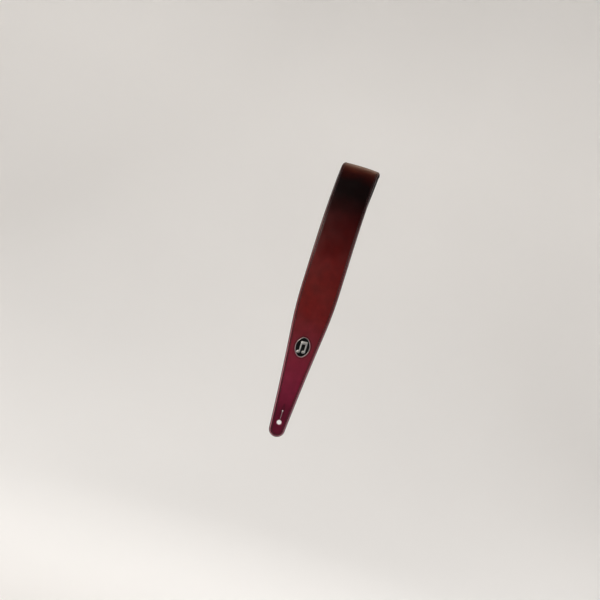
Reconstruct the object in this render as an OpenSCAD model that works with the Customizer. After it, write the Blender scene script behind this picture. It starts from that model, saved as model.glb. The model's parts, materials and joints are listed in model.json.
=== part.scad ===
// Wide leather guitar strap, hung over a shoulder, with a buckled tail.
// Millimetres. X runs across the strap, +Z is up and the front of the wearer
// is towards -Y. The origin is the middle of the lining at the highest point.
// Heights written h are measured outwards from the face that touches the body.

/* [Strap body] */
// Width of the strap over the shoulder
strap_w = 70; // [55:1:90]
// Thickness of the lining, the ply that touches the body
lining_t = 1; // [0.8:0.1:1.4]
// Thickness of the core ply between lining and outer leather
core_t = 1; // [0.8:0.1:1.5]
// Thickness of the outer leather
leather_t = 2; // [1.6:0.1:2.6]

/* [Shoulder arch] */
// Radius of the arch on the lining side
crown_r = 58; // [50:1:75]
// Angle that the arch turns through on the front
front_arch = 62; // [50:1:75]
// Angle that the arch turns through on the back
back_arch = 70; // [55:1:80]
// Straight run below the arch on the front
front_run = 40; // [20:1:60]
// Straight run below the arch on the back
back_run = 20; // [10:1:50]
// Radius of the gentle bend over the chest
front_bend_r = 330; // [200:5:400]
// Radius of the gentle bend over the shoulder blade
back_bend_r = 250; // [150:5:350]

/* [Front end] */
// Length that hangs straight down at the front, tip included
front_len = 287; // [265:1:360]
// Radius of the rounded tip
tip_r = 14.5; // [12:0.5:18]
// Angle at which each side leaves the tip
tip_flare = 4; // [2:0.5:6]
// Distance from the tip to the full width
front_taper = 280; // [200:1:284]
// Distance from the tip to the middle of the button hole
button_at = 27.6; // [22:0.1:34]
// Distance from the tip to the point of the reinforcing tab
tab_at = 65; // [58:1:90]

/* [Button holes] */
// Radius of each button hole
button_r = 4.2; // [3.5:0.1:5]
// Width of the slit above a button hole
slit_w = 0.8; // [0.6:0.1:1.2]
// Distance from the button hole to the end of its slit
slit_len = 21.9; // [14:0.1:24]
// Radius of the small hole that stops the slit from tearing
relief_r = 1.2; // [0.8:0.1:1.6]

/* [Stitching] */
// Distance from the edge of the leather to the middle of a seam
seam_in = 4.5; // [3.5:0.1:6]
// Width of the seam groove
seam_w = 0.8; // [0.5:0.1:1.2]
// Depth of the seam groove
seam_d = 0.4; // [0.2:0.1:0.6]

/* [Medallion] */
// Distance from the tip to the middle of the medallion
badge_at = 170.6; // [120:1:200]
// Half of the medallion's length, along the strap
badge_a = 18.15; // [14:0.05:20]
// Half of the medallion's width
badge_b = 13.15; // [10:0.05:15]
// Radius of the medallion's two ends
badge_end_r = 9; // [6:0.1:9.5]
// Height of the rim above the outer leather
badge_proud = 0.6; // [0.3:0.1:1]
// Width of the rim
rim_w = 1.4; // [1:0.1:2]
// Depth of the recess inside the rim
recess_d = 1.2; // [0.8:0.1:1.6]
// Thickness of the enamel in the recess
enamel_t = 0.5; // [0.3:0.1:0.7]
// Gap between the medallion and the window cut for it
badge_gap = 0.2; // [0.1:0.05:0.4]
// Radius of each post under the medallion
post_r = 2; // [1.6:0.1:2.4]
// Distance from the medallion's middle to each post
post_off = 9; // [6:0.5:11]
// Radius of a screw's shank and of the bore that it fills
screw_r = 1.1; // [0.8:0.1:1.3]
// Radius of a screw's head
screw_head_r = 2.6; // [2:0.1:3]
// Height of a screw's head
screw_head_h = 1; // [0.8:0.1:1.4]
// Radius of the washer under a screw's head
washer_r = 3.8; // [3.2:0.1:4.5]
// Thickness of that washer
washer_t = 0.4; // [0.3:0.1:0.6]

/* [Back end] */
// Width of the narrow part of the back, and of the tail
tail_w = 30; // [25:1:35]
// Drop from the top of the flat back to the start of its taper
back_shoulder = 8; // [2:1:20]
// Length over which the back narrows
back_taper = 95; // [80:1:120]
// Length of the narrow part, down to the buckle's heel bar
back_narrow = 126.5; // [122:0.5:150]
// Gap between the end of the plies and the middle of the heel bar
end_gap = 6; // [5:0.5:8]

/* [Buckle] */
// Play between the heel bar and what turns on it
bar_play = 0.1; // [0.05:0.01:0.1]
// Distance down the back from the heel bar to the roller
buckle_reach = 34; // [30:1:40]
// Gap between the tail's edge and the buckle's side arm
arm_gap = 1; // [0.6:0.1:1.5]
// Corner radius of the frame at the heel bar, on its centre line
heel_corner_r = 2.4; // [2.1:0.1:2.5]
// Corner radius of the frame at the roller, on its centre line
nose_corner_r = 3.5; // [3:0.1:5]
// Outer radius of the roller
roller_r = 3; // [2.8:0.1:3.5]
// Gap between the tail and the roller
roller_gap = 0.3; // [0.2:0.1:0.6]
// Half of the prong's thickness
prong_r = 1.6; // [1.4:0.1:1.8]
// Width of the prong and of its eye
prong_w = 3; // [2.4:0.1:3.4]
// Outer radius of the prong's eye
eye_r = 3.6; // [3.4:0.1:3.8]
// Slope of the prong where it comes up through the tail
prong_rise = 65; // [60:1:70]
// Centre line radius of the prong's bend
prong_bend_r = 6; // [4:0.5:8]
// Length of the prong past the middle of the roller
prong_over = 4; // [3:0.5:6]

/* [Buckle chape] */
// Thickness of the leather that is folded round the heel bar
chape_t = 1.6; // [1.2:0.1:1.8]
// Length of each leg of the fold
chape_len = 34; // [30:1:36]
// Width of the slot that the prong comes through
prong_slot_w = 5; // [4.4:0.1:6]
// Distance from the heel bar to the first rivet
rivet_at = 14; // [12:1:16]
// Distance from one rivet to the next
rivet_pitch = 12; // [10:1:14]
// Radius of a rivet's shank
rivet_r = 1.5; // [1.2:0.1:1.8]
// Radius of a rivet's cap
rivet_cap_r = 3.5; // [3:0.1:4.5]
// Height of a rivet's cap
rivet_cap_h = 0.5; // [0.4:0.1:0.7]

/* [Tail] */
// Thickness of the tail's outer leather
tail_leather_t = 1.6; // [1.2:0.1:2]
// Thickness of the tail's lining
tail_lining_t = 1; // [0.8:0.1:1.2]
// Gap between the rivet caps and the tail
tail_gap = 0.3; // [0.2:0.1:0.6]
// Distance from the heel bar up to the point of the tail
tail_up = 187; // [180:1:200]
// Distance from the heel bar down to the round end of the tail
tail_down = 118; // [105:1:125]
// Length over which the tail comes down onto the strap
tail_ease = 34; // [28:1:40]
// Distance between adjusting holes
hole_pitch = 25; // [20:1:28]
// Adjusting holes above the one in use
holes_up = 6; // [3:1:6]
// Half of the width of an adjusting hole
hole_r = 2.2; // [2:0.1:2.5]
// Length of an adjusting hole
hole_len = 10.4; // [10:0.1:12]

/* [Keepers] */
// Thickness of the leather of the keepers
keeper_t = 1.6; // [1.2:0.1:2]
// Width of each keeper along the strap
keeper_w = 12; // [8:1:13]
// Play between a keeper and what it holds
keeper_play = 0.5; // [0.3:0.1:0.8]
// Distance from the heel bar to the lower edge of the fixed keeper
keeper_at = 36; // [36:0.5:40]

/* [Hidden] */
$fn = 64;
strap_t = lining_t + core_t + leather_t;
core_h = lining_t;
leather_h = lining_t + core_t;
half_w = strap_w / 2;

// Where the two flat drops lie, and where they begin
function flat_y(arch, run, bend_r) =
    crown_r * sin(arch) + run * cos(arch) + bend_r * (1 - sin(arch));
function flat_z(arch, run, bend_r) =
    -crown_r * (1 - cos(arch)) - run * sin(arch) - bend_r * cos(arch);
front_y = flat_y(front_arch, front_run, front_bend_r);
front_z = flat_z(front_arch, front_run, front_bend_r);
back_y = flat_y(back_arch, back_run, back_bend_r);
back_z = flat_z(back_arch, back_run, back_bend_r);
tip_z = front_z - front_len;

// Side of the front end: a slight flare from the tip, then a round shoulder
STEPS = 30;
ARC_STEP = 2;
SHOULDER_FROM = 0.707;
side_0 = tip_r * (1 - sin(tip_flare));
side_len = front_taper - side_0;
side_rise = half_w - tip_r * cos(tip_flare);
flare_0 = tan(tip_flare) * side_len / side_rise;
flare_1 = (1 - flare_0 * (1 + SHOULDER_FROM) / 2) / SHOULDER_FROM;
flare_2 = (flare_0 + 2 * flare_1 * SHOULDER_FROM) / (2 * (1 - SHOULDER_FROM));
function side_x(u) =
    half_w - side_rise
    + side_rise * (u < SHOULDER_FROM ? flare_0 * u + flare_1 * u * u : 1 - flare_2 * (1 - u) * (1 - u));
function side_slope(u) =
    side_rise / side_len * (u < SHOULDER_FROM ? flare_0 + 2 * flare_1 * u : 2 * flare_2 * (1 - u));

// Side of the back: an even S from the full width to the narrow part
back_half = tail_w / 2;
bar_z = back_z - back_shoulder - back_taper - back_narrow;
taper_z = back_z - back_shoulder;
function neck_x(u) = half_w - (half_w - back_half) * u * u * (3 - 2 * u);
function neck_slope(u) = (half_w - back_half) / back_taper * 6 * u * (1 - u);

// Buckle: the heel bar lies in the middle of the plies
bar_h = strap_t / 2;
bar_r = bar_h - bar_play;
chape_h = strap_t + chape_t;
tail_low_h = chape_h + rivet_cap_h + tail_gap;
tail_t = tail_leather_t + tail_lining_t;
roller_h = tail_low_h + tail_t + roller_gap + roller_r;
frame_slope = atan((roller_h - bar_h) / buckle_reach);
frame_len = (roller_h - bar_h) / sin(frame_slope);
arm_x = back_half + arm_gap + bar_r;
prong_q = roller_h - bar_h + roller_r + prong_r + bar_play;
leg_turn = prong_bend_r * tan(prong_rise / 2);
slot_end = prong_slot_w;
// The hole in use is centred on what the prong sweeps as it lifts
PRONG_SWEEP = 38;
tail_top_q = tail_low_h + tail_t - bar_h;
sweep_low = (tail_top_q * cos(prong_rise) + prong_r) / sin(prong_rise);
sweep_high = (tail_top_q * cos(prong_rise + PRONG_SWEEP) - prong_r) / sin(prong_rise + PRONG_SWEEP);
hole_mid = (sweep_low + sweep_high) / 2;

// Tail: low over the buckle, then down onto the strap in two equal arcs
tail_high_h = strap_t + tail_gap;
ease_z = bar_z + chape_len;
ease_a = 2 * atan((tail_low_h - tail_high_h) / tail_ease);
ease_r = tail_ease / (2 * sin(ease_a));
tail_top_z = bar_z + tail_up;
tail_end_z = bar_z - tail_down;
point_r = 2.7 * back_half;
tail_button_z = tail_end_z + 22;

badge_z = tip_z + badge_at;
rim_h = strap_t + badge_proud;
recess_h = rim_h - recess_d;
motif_h = rim_h;
keeper_low_z = bar_z + keeper_at;
free_keeper_z = ease_z + tail_ease + 2;
EPS = 0.01;

// ---- shared shapes ----

// A list of points in reverse order
function back_to_front(p) = [for (i = [len(p) - 1:-1:0]) p[i]];

// Points closing an outline: one side, then its mirror image
function both_sides(side) = concat(side, [for (p = back_to_front(side)) [-p[0], p[1]]]);

// Points on an arc about c, from angle a0 to a1 in steps of about ARC_STEP
function arc_points(c, r, a0, a1) =
    let (n = ceil(abs(a1 - a0) / ARC_STEP))
    [for (i = [0:n]) let (a = a0 + (a1 - a0) * i / n) c + r * [cos(a), sin(a)]];

// Side view of the arch at height h: from the front hinge over the top to the back one
function arch_line(h) =
    arc_points([0, -crown_r], crown_r + h, 90 + front_arch, 90 - back_arch);

// Side view of a drop at height h, on the +Y side: hinge, straight run, bend, flat to end_z
function drop_line(h, arch, run, bend_r, end_z) =
    let (
        out = [sin(arch), cos(arch)],
        foot = [0, -crown_r] + crown_r * out + run * [cos(arch), -sin(arch)]
    )
    concat(
        [[0, -crown_r] + (crown_r + h) * out],
        arc_points(foot - bend_r * out, bend_r + h, 90 - arch, 0),
        [[(foot - bend_r * out)[0] + bend_r + h, end_z]]
    );

// Side view of the tail at height h above its inner face, from its lower end up
function tail_line(h) =
    let (
        low = back_y + tail_low_h,
        high = back_y + tail_high_h,
        top_z = ease_z + tail_ease
    )
    concat(
        [[low + h, tail_end_z]],
        arc_points([low - ease_r, ease_z], ease_r + h, 0, ease_a),
        arc_points([high + ease_r, top_z], ease_r - h, 180 + ease_a, 180),
        [[high + h, tail_top_z]]
    );

// A closed side view in Y and Z made into a band across X
module band(line_in, line_out, x0 = -half_w, x1 = half_w) {
    translate([x0, 0, 0])
        rotate([90, 0, 90])
            linear_extrude(x1 - x0)
                polygon(concat(line_in, back_to_front(line_out)));
}

// A drawing in X and Z made solid from y0 to y1
module facing(y0, y1) {
    translate([0, y1, 0])
        rotate([90, 0, 0])
            linear_extrude(y1 - y0)
                children();
}

// A drawing in X and Z made solid from height h0 to h1 of the flat front
module front_ply(h0, h1) {
    facing(-front_y - h1, -front_y - h0)
        children();
}

// The same on the flat back
module back_ply(h0, h1) {
    facing(back_y + h0, back_y + h1)
        children();
}

// Outline of the front end, drawn in by a distance
module front_outline(in = 0) {
    tip = arc_points([0, tip_z + tip_r], tip_r - in, ARC_STEP - 90, -tip_flare);
    side = [
        for (i = [1:STEPS])
            let (u = i / STEPS, a = atan(side_slope(u)))
            [side_x(u) - in * cos(a), tip_z + side_0 + u * side_len + in * sin(a)]
    ];
    polygon(both_sides(concat(tip, side, [[half_w - in, strap_t]])));
}

// Outline of the back, down to a given height
module back_outline(end_z, in = 0) {
    side = [
        for (i = [0:STEPS])
            let (u = i / STEPS, a = atan(neck_slope(u)))
            [neck_x(u) - in * cos(a), taper_z - u * back_taper - in * sin(a)]
    ];
    polygon(both_sides(concat([[half_w - in, strap_t]], side, [[back_half - in, end_z]])));
}

// Button hole with its slit and relief hole above it
module keyhole(z) {
    translate([0, z])
        circle(r = button_r);
    translate([-slit_w / 2, z])
        square([slit_w, slit_len]);
    translate([0, z + slit_len])
        circle(r = relief_r);
}

// The tip of the core, cut to a point, where a tougher tab takes its place
module tab_region() {
    polygon([
        [-half_w, tip_z - tip_r], [half_w, tip_z - tip_r], [half_w, tip_z + tab_at - half_w * 1.5],
        [0, tip_z + tab_at], [-half_w, tip_z + tab_at - half_w * 1.5]
    ]);
}

// Oval made of four arcs, long along Z
module oval(a, b, r) {
    d = a - r;
    big = (b * b + d * d - r * r) / (2 * (b - r));
    reach = big * d / (big - r);
    for (s = [-1, 1])
        translate([0, s * d])
            circle(r = r);
    intersection() {
        translate([b - big, 0])
            circle(r = big);
        translate([big - b, 0])
            circle(r = big);
        translate([-b, -reach])
            square([2 * b, 2 * reach]);
    }
}

module badge_window() {
    translate([0, badge_z])
        oval(badge_a + badge_gap, badge_b + badge_gap, badge_end_r + badge_gap);
}

// Holes at the places of the medallion's two posts
module post_marks(r) {
    for (s = [-1, 1])
        translate([0, badge_z + s * post_off])
            circle(r = r);
}

// Holes at the places of the chape's two rivets
module rivet_marks(r) {
    for (i = [0, 1])
        translate([0, bar_z + rivet_at + i * rivet_pitch])
            circle(r = r);
}

// Rectangle with round corners, centred across X and standing on y0
module round_box(w, y0, y1, r) {
    translate([-w / 2 + r, y0])
        square([w - 2 * r, y1 - y0]);
    translate([-w / 2, y0 + r])
        square([w, y1 - y0 - 2 * r]);
    for (x = [r - w / 2, w / 2 - r], y = [y0 + r, y1 - r])
        translate([x, y])
            circle(r = r);
}

// Two beamed notes, the raised figure on the medallion
module notes() {
    stem_w = 1.3;
    head_r = 2.3;
    span = 4.2;
    rise = 1.2;
    stem_h = 13;
    for (s = [-1, 1])
        translate([s * span - head_r + stem_w / 2, s * rise / 2 - 6.8]) {
            circle(r = head_r);
            translate([head_r - stem_w, 0])
                square([stem_w, stem_h]);
        }
    polygon([
        [-span - stem_w / 2, 6.2 - rise / 2 - 2.8], [span + stem_w / 2, 6.2 + rise / 2 - 2.8],
        [span + stem_w / 2, 6.2 + rise / 2], [-span - stem_w / 2, 6.2 - rise / 2]
    ]);
}

// ---- shoulder ----

module shoulder_ply(h0, h1, x0 = -half_w, x1 = half_w) {
    band(arch_line(h0), arch_line(h1), x0, x1);
}

module outer_leather_shoulder() {
    color("#4a1512")
        difference() {
            shoulder_ply(leather_h, strap_t);
            stitching_shoulder();
        }
}

module core_ply_shoulder() {
    color("#8a6a4a")
        shoulder_ply(core_h, leather_h);
}

module lining_shoulder() {
    color("#17130f")
        shoulder_ply(0, lining_t);
}

module stitching_shoulder() {
    color("#2a0a0c")
        for (x = [-half_w + seam_in, half_w - seam_in])
            shoulder_ply(strap_t - seam_d, strap_t, x - seam_w / 2, x + seam_w / 2);
}

// ---- front drop ----

// The front drop between two heights, cut to the drawing given
module front_drop(h0, h1) {
    intersection() {
        mirror([0, 1, 0])
            band(
                drop_line(h0, front_arch, front_run, front_bend_r, tip_z),
                drop_line(h1, front_arch, front_run, front_bend_r, tip_z)
            );
        facing(-front_y - 2 * strap_t, 0)
            children();
    }
}

module outer_leather_front() {
    color("#5a1418")
        difference() {
            front_drop(leather_h, strap_t)
                difference() {
                    front_outline();
                    keyhole(tip_z + button_at);
                    badge_window();
                }
            stitching_front();
        }
}

module core_ply_front() {
    color("#8a6a4a")
        front_drop(core_h, leather_h)
            difference() {
                front_outline();
                tab_region();
                post_marks(post_r);
            }
}

module front_hole_reinforcement() {
    color("#b9a88a")
        front_ply(core_h, leather_h)
            difference() {
                intersection() {
                    front_outline();
                    tab_region();
                }
                keyhole(tip_z + button_at);
            }
}

module lining_front() {
    color("#17130f")
        front_drop(0, lining_t)
            difference() {
                front_outline();
                keyhole(tip_z + button_at);
                post_marks(post_r);
            }
}

module stitching_front() {
    color("#2a0a0c")
        front_drop(strap_t - seam_d, strap_t)
            difference() {
                front_outline(seam_in - seam_w / 2);
                front_outline(seam_in + seam_w / 2);
            }
}

module medallion_casting() {
    color("#b8b8b4")
        difference() {
            union() {
                front_ply(leather_h, rim_h)
                    translate([0, badge_z])
                        oval(badge_a, badge_b, badge_end_r);
                front_ply(0, leather_h + EPS)
                    post_marks(post_r);
            }
            front_ply(recess_h, rim_h + EPS)
                translate([0, badge_z])
                    difference() {
                        oval(badge_a - rim_w, badge_b - rim_w, badge_end_r - rim_w);
                        notes();
                    }
            front_ply(-EPS, leather_h)
                post_marks(screw_r);
        }
}

module medallion_enamel() {
    color("#101010")
        front_ply(recess_h, recess_h + enamel_t)
            translate([0, badge_z])
                difference() {
                    oval(badge_a - rim_w, badge_b - rim_w, badge_end_r - rim_w);
                    notes();
                }
}

module medallion_washers() {
    color("#9a9a96")
        front_ply(-washer_t, 0)
            difference() {
                post_marks(washer_r);
                post_marks(screw_r);
            }
}

module medallion_screws() {
    color("#8c8c88") {
        front_ply(-washer_t - screw_head_h, -washer_t)
            post_marks(screw_head_r);
        front_ply(-washer_t - EPS, leather_h - 2 * EPS)
            post_marks(screw_r);
    }
}

// ---- back drop ----

// The back drop between two heights, cut to the drawing given
module back_drop(h0, h1) {
    intersection() {
        band(
            drop_line(h0, back_arch, back_run, back_bend_r, bar_z),
            drop_line(h1, back_arch, back_run, back_bend_r, bar_z)
        );
        facing(0, back_y + 2 * strap_t)
            children();
    }
}

// One ply of the back, with its rivet holes
module back_body(h0, h1) {
    back_drop(h0, h1)
        difference() {
            back_outline(bar_z + end_gap);
            rivet_marks(rivet_r);
        }
}

module outer_leather_back() {
    color("#4a1512")
        difference() {
            back_body(leather_h, strap_t);
            stitching_back();
        }
}

module core_ply_back() {
    color("#8a6a4a")
        back_body(core_h, leather_h);
}

module lining_back() {
    color("#17130f")
        back_body(0, lining_t);
}

module stitching_back() {
    seam_end_z = bar_z + chape_len + seam_w;
    color("#2a0a0c")
        back_drop(strap_t - seam_d, strap_t)
            difference() {
                back_outline(seam_end_z, seam_in - seam_w / 2);
                back_outline(seam_end_z - seam_w, seam_in + seam_w / 2);
            }
}

// Side view of the fold at one of its faces: up one leg, round the bar and up the other
function fold_line(r) =
    let (c = [back_y + bar_h, bar_z])
    concat([c + [-r, chape_len]], arc_points(c, r, 180, 360), [c + [r, chape_len]]);

// Leather folded round the heel bar and riveted through the plies
module buckle_chape() {
    bend_out = bar_h + chape_t;
    color("#35100e")
        difference() {
            band(fold_line(bar_h), fold_line(bend_out), -back_half, back_half);
            back_ply(-2 * chape_t, strap_t + 2 * chape_t) {
                rivet_marks(rivet_r);
                translate([0, bar_z + slot_end])
                    circle(r = prong_slot_w / 2);
                translate([-prong_slot_w / 2, bar_z - 2 * bend_out])
                    square([prong_slot_w, slot_end + 2 * bend_out]);
            }
        }
}

module chape_rivets() {
    color("#a8a49c")
        for (i = [0, 1])
            translate([0, back_y + strap_t / 2, bar_z + rivet_at + i * rivet_pitch])
                rotate([-90, 0, 0]) {
                    cylinder(r = rivet_r, h = strap_t + 2 * chape_t, center = true);
                    for (s = [0, 1])
                        mirror([0, 0, s])
                            translate([0, 0, strap_t / 2 + chape_t])
                                cylinder(r1 = rivet_cap_r, r2 = rivet_cap_r - rivet_cap_h, h = rivet_cap_h);
                }
}

// Loop of leather round strap and tail, between two heights
module keeper_loop(z, tail_h) {
    in_w = tail_w + 2 * keeper_play;
    low = -keeper_play;
    high = tail_h + tail_t + keeper_play;
    inner_r = 0.8;
    translate([0, back_y, z])
        linear_extrude(keeper_w)
            difference() {
                round_box(in_w + 2 * keeper_t, low - keeper_t, high + keeper_t, inner_r + keeper_t);
                round_box(in_w, low, high, inner_r);
            }
}

module fixed_keeper() {
    color("#35100e")
        keeper_loop(keeper_low_z, tail_low_h);
}

// ---- tail ----

// Outline of the tail, drawn in by a distance: round below, a point of two arcs above
module tail_outline(in = 0) {
    round_z = tail_end_z + back_half;
    arc_off = point_r - back_half;
    rise = sqrt(point_r * point_r - arc_off * arc_off);
    base_z = tail_top_z - rise;
    translate([0, round_z])
        circle(r = back_half - in);
    translate([in - back_half, round_z])
        square([tail_w - 2 * in, base_z - round_z]);
    intersection() {
        translate([-arc_off, base_z])
            circle(r = point_r - in);
        translate([arc_off, base_z])
            circle(r = point_r - in);
        translate([-back_half, base_z])
            square([tail_w, rise]);
    }
}

// Adjusting holes: the one in use is at place 0, one is below it
module adjusting_holes() {
    straight = hole_len / 2 - hole_r;
    for (i = [-1:holes_up])
        translate([0, bar_z - hole_mid + i * hole_pitch]) {
            for (s = [-1, 1])
                translate([0, s * straight])
                    circle(r = hole_r);
            translate([-hole_r, -straight])
                square([2 * hole_r, 2 * straight]);
        }
}

// The tail between two heights above its inner face, cut to the drawing given
module tail_ply(h0, h1) {
    intersection() {
        band(tail_line(h0), tail_line(h1), -back_half, back_half);
        back_ply(0, tail_low_h + 2 * tail_t)
            children();
    }
}

module tail_drawing() {
    difference() {
        tail_outline();
        keyhole(tail_button_z);
        adjusting_holes();
    }
}

module tail_outer() {
    color("#4a1512")
        difference() {
            tail_ply(tail_lining_t, tail_t)
                tail_drawing();
            tail_stitching();
        }
}

module tail_lining() {
    color("#17130f")
        tail_ply(0, tail_lining_t)
            tail_drawing();
}

module tail_stitching() {
    color("#2a0a0c")
        tail_ply(tail_t - seam_d, tail_t)
            difference() {
                tail_outline(seam_in - seam_w / 2);
                tail_outline(seam_in + seam_w / 2);
            }
}

// ---- buckle ----

// Puts children at the heel bar: Y runs down the back and Z outwards, tilted by a slope
module at_bar(slope = 0) {
    translate([0, back_y + bar_h, bar_z])
        rotate([slope - 90, 0, 0])
            children();
}

module bar_along_x(r, w) {
    rotate([0, 90, 0])
        cylinder(r = r, h = w, center = true);
}

module buckle_frame() {
    color("#c2beb4")
        at_bar(frame_slope) {
            bar_along_x(bar_r, 2 * (arm_x - heel_corner_r));
            translate([0, frame_len, 0])
                bar_along_x(bar_r, 2 * (arm_x - nose_corner_r));
            for (s = [0, 1])
                mirror([s, 0, 0]) {
                    translate([arm_x, heel_corner_r, 0])
                        rotate([-90, 0, 0])
                            cylinder(r = bar_r, h = frame_len - heel_corner_r - nose_corner_r);
                    translate([arm_x - heel_corner_r, heel_corner_r, 0])
                        frame_corner(heel_corner_r, -90);
                    translate([arm_x - nose_corner_r, frame_len - nose_corner_r, 0])
                        frame_corner(nose_corner_r, 0);
                }
        }
}

module frame_corner(r, from) {
    rotate([0, 0, from])
        rotate_extrude(angle = 90)
            translate([r, 0])
                circle(r = bar_r);
}

module buckle_roller() {
    color("#c2beb4")
        at_bar(frame_slope)
            translate([0, frame_len, 0])
                difference() {
                    bar_along_x(roller_r, 2 * (arm_x - nose_corner_r) - 0.4);
                    bar_along_x(bar_r + bar_play, 2 * arm_x);
                }
}

// Side view of one edge of the prong: up the leg, round the bend and along the run
function prong_edge(o) =
    let (
        lean = [-sin(prong_rise), cos(prong_rise)],
        bend_at = [prong_q / tan(prong_rise) + leg_turn, prong_q - prong_bend_r]
    )
    concat(
        [o * lean],
        arc_points(bend_at, prong_bend_r + o, 90 + prong_rise, 90)
    );

// Eye round the heel bar, a steep leg, a bend and a run over the roller
module buckle_prong() {
    color("#cfcbc1")
        at_bar()
            difference() {
                union() {
                    bar_along_x(eye_r, prong_w);
                    rotate([90, 0, 90])
                        linear_extrude(prong_w, center = true)
                            polygon(concat(
                                prong_edge(prong_r),
                                arc_points([buckle_reach + prong_over, prong_q], prong_r, 90, -90),
                                back_to_front(prong_edge(-prong_r))
                            ));
                }
                bar_along_x(bar_r + bar_play, 2 * prong_w);
            }
}

module free_keeper() {
    color("#35100e")
        keeper_loop(free_keeper_z, tail_high_h);
}

outer_leather_shoulder();
core_ply_shoulder();
lining_shoulder();
stitching_shoulder();
outer_leather_front();
core_ply_front();
lining_front();
stitching_front();
front_hole_reinforcement();
medallion_casting();
medallion_enamel();
medallion_screws();
medallion_washers();
outer_leather_back();
core_ply_back();
lining_back();
stitching_back();
buckle_chape();
chape_rivets();
fixed_keeper();
tail_outer();
tail_lining();
tail_stitching();
buckle_frame();
buckle_prong();
buckle_roller();
free_keeper();
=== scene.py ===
import json
import math

import bmesh
import bpy
import numpy as np
from mathutils import Matrix, Vector
from mathutils.geometry import delaunay_2d_cdt


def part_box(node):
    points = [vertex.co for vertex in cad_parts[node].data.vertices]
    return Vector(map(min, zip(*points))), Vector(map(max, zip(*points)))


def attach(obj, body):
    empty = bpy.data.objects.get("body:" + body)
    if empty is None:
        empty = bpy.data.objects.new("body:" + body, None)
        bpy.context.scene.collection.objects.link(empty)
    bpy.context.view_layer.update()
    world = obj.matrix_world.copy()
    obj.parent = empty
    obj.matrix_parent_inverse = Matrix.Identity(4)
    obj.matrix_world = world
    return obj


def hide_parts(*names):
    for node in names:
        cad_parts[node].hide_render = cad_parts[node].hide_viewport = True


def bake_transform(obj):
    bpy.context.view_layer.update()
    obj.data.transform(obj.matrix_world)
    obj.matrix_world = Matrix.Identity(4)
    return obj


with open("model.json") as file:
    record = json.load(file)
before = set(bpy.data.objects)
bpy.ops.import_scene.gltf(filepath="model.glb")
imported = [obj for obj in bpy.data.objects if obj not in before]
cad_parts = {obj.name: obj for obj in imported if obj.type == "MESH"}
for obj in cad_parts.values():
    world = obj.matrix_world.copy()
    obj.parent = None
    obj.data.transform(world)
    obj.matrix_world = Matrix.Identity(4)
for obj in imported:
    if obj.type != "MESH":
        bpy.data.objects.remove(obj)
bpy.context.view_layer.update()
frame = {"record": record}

# A leather guitar strap hung over a shoulder. Lengths in this script are
# millimetres until place() turns them into metres of the frame.
MM = 0.001


# ======== sizes

def box_mm(node):
    """Lowest and highest corner of a CAD node, in millimetres."""
    low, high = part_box(node)
    return [v / MM for v in low], [v / MM for v in high]


def joint_mm(name):
    """Where a joint's axis passes, in millimetres."""
    joint = next(j for j in frame["record"]["behaviour"]["joints"] if j["name"] == name)
    return [v / MM for v in joint["pos_m"]]


FRONT_LOW, FRONT_HIGH = box_mm("outer_leather_front")
BACK_LOW, BACK_HIGH = box_mm("outer_leather_back")
HALF_W = FRONT_HIGH[0]
STRAP_T = box_mm("outer_leather_shoulder")[1][2]
# Lining and core lie under the top leather
LINING_T = 1.0
CORE_TOP = 2.0
TIP_Z = FRONT_LOW[2]
FRONT_Y = -FRONT_LOW[1] - STRAP_T
BACK_Y = BACK_HIGH[1] - STRAP_T
BAR_Y, BAR_Z = joint_mm("buckle_tilt")[1:]
ROLLER_Y, ROLLER_Z = joint_mm("roller_spin")[1:]
END_GAP = BACK_LOW[2] - BAR_Z

# The frame gives no more than boxes and joints, so these are the CAD source's own values.
# Front end: heights are above the tip
TIP_R = 14.5
TIP_FLARE = math.radians(4)
FRONT_TAPER = 280.0
BUTTON_AT = 27.6
# Point of the tab inside, above the tip, and how fast the two stretch lines part below it
TAB_AT = 65.0
TAB_SLOPE = 0.16
BUTTON_R = 4.2
# The slit's half width in the top leather, and as it closes up in the core and in the lining
SLIT_HALF = 0.4
SLIT_HALF_CORE = 0.22
SLIT_HALF_LINING = 0.1
SLIT_LEN = 21.9
RELIEF_R = 1.2
SEAM_IN = 4.5
STITCH_PITCH = 4.1
STITCH_LEN = 3.2
STITCH_R = 0.42

# Medallion: half length, half width and the radius of its two ends
BADGE_AT = 170.6
BADGE_A = 18.15
BADGE_B = 13.15
BADGE_END_R = 9.0
BADGE_SIZES = (BADGE_A, BADGE_B, BADGE_END_R)
BADGE_RIM = 0.7
WINDOW_GAP = 0.2
# Heights above the lining's inner face
RECESS = 3.4
FIGURE_TOP = 4.8
POST_OFF = 9.0

# Back end: heights are from the heel bar
TAIL_HALF = 15.0
BACK_SHOULDER = 8.0
BACK_TAPER = 95.0
CHAPE_T = 1.6
CHAPE_LEN = 34.0
RIVET_AT = (14.0, 26.0)
TAIL_T = 2.6
TAIL_LINING_T = 1.0
TAIL_LOW_H = 6.4
TAIL_HIGH_H = 4.3
TAIL_EASE = 34.0
TAIL_UP = 187.0
TAIL_DOWN = 118.0
HOLE_PITCH = 25.0
HOLE_HALF_W = 2.2
HOLE_LEN = 10.4
HOLE_MID = 0.886
TAIL_BUTTON_AT = 22.0
KEEPER_W = 12.0
KEEPER_EASE = 0.5

# How the strap lies: its straight runs and gentle bends past the arch
FRONT_RUN, FRONT_BEND_R = 40.0, 330.0
BACK_RUN, BACK_BEND_R = 20.0, 250.0
# How far it leans to the right on top of the shoulder, and where it is back on its line
LEAN = 7.5
LEAN_FRONT = 200.0
LEAN_BACK = 200.0
# How much closer to the body its edges lie than its middle, in front and at the back
CUP = 1.6
CUP_BACK = 0.7
# Front and back halves of each ply meet a little behind the top of the arch
SPLIT = 24.0
# Length of strap to each side of the end of the arch
BLEND_HALF = 22.0
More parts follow.
